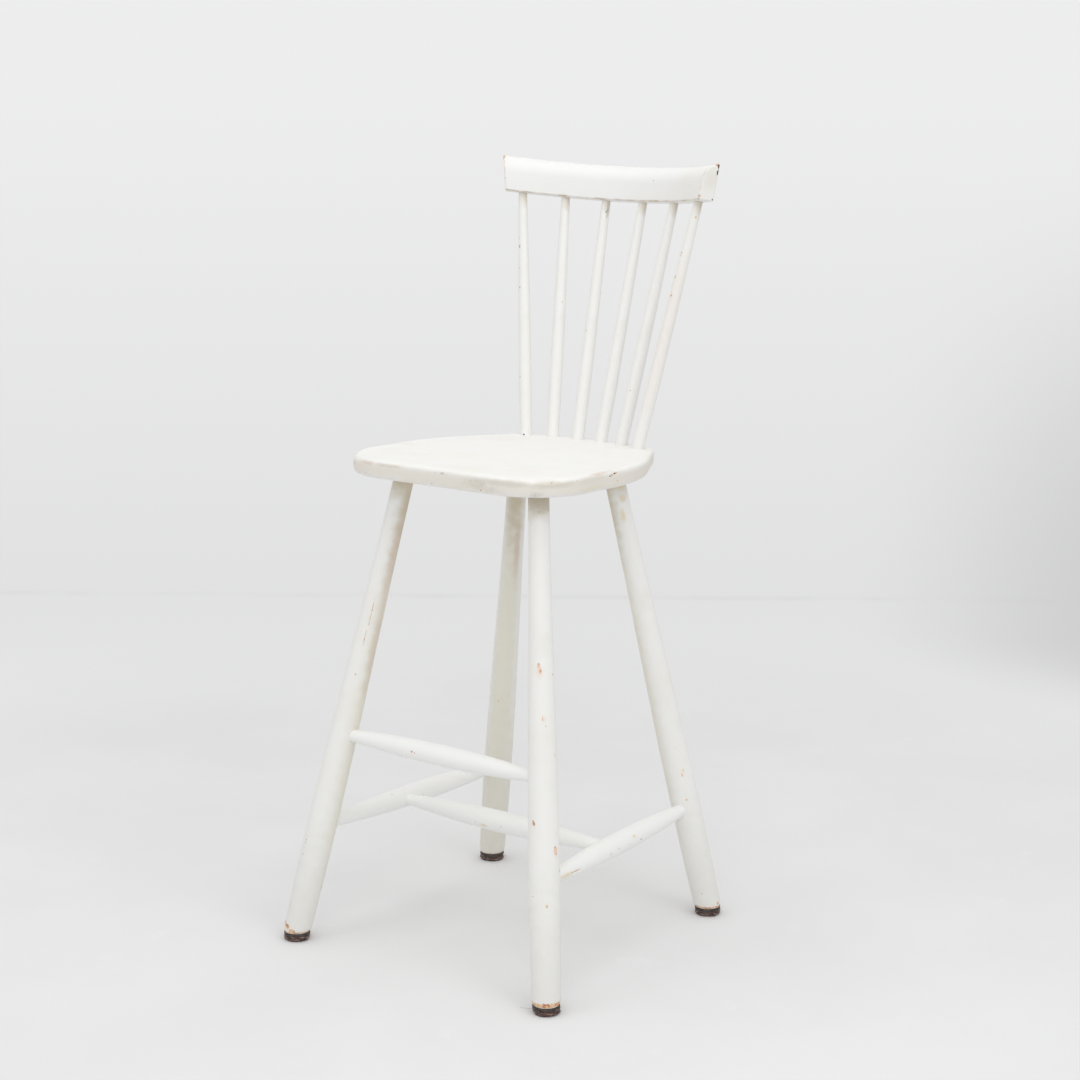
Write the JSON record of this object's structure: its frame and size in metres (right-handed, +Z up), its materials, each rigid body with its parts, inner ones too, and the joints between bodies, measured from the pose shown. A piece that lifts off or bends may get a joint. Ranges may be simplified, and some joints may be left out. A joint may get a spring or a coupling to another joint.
{
  "type": "spindle-back child's high chair",
  "caption": "White-painted wooden high chair for a child: plank seat on splayed turned legs with a foot rail, spindle back and bent crest rail, paint chipped and worn.",
  "frame": {"origin": "on the floor, midway across and midway front to back of the whole chair", "axes": "+Z up, +Y towards the chair's back, +X towards the sitter's left"},
  "size_m": [0.3658, 0.4082, 0.8303],
  "materials": {
    "seat_paint": "warm white satin paint, rubbed thin on the edges, chips to bare wood and grey dirt on the front edge",
    "leg_paint": "warm white satin paint with small orange and red-brown chips and bare wood at the feet",
    "stretcher_paint": "warm white satin paint with a few chips, a yellowed crack and a red hairline crack",
    "spindle_paint": "warm white satin paint, chipped on the outer spindles",
    "crest_paint": "warm white satin paint, worn to bare wood on the end corners",
    "glide": "dull dark grey-brown, scuffed",
    "felt": "brown felt, matted and frayed round its lower edge",
    "nail_steel": "dull steel"
  },
  "bodies": {
    "root": {"seat": "seat_paint", "leg_front_left": "leg_paint", "leg_front_right": "leg_paint", "leg_rear_left": "leg_paint", "leg_rear_right": "leg_paint", "foot_rail": "stretcher_paint", "side_stretcher_left": "stretcher_paint", "side_stretcher_right": "stretcher_paint", "cross_stretcher": "stretcher_paint", "spindle_1": "spindle_paint", "spindle_2": "spindle_paint", "spindle_3": "spindle_paint", "spindle_4": "spindle_paint", "spindle_5": "spindle_paint", "spindle_6": "spindle_paint", "crest_rail": "crest_paint", "glide_front_left": "glide", "glide_front_right": "glide", "glide_rear_left": "glide", "glide_rear_right": "glide", "felt_front_left": "felt", "felt_front_right": "felt", "felt_rear_left": "felt", "felt_rear_right": "felt", "glide_nails": "nail_steel"}
  },
  "joints": []
}
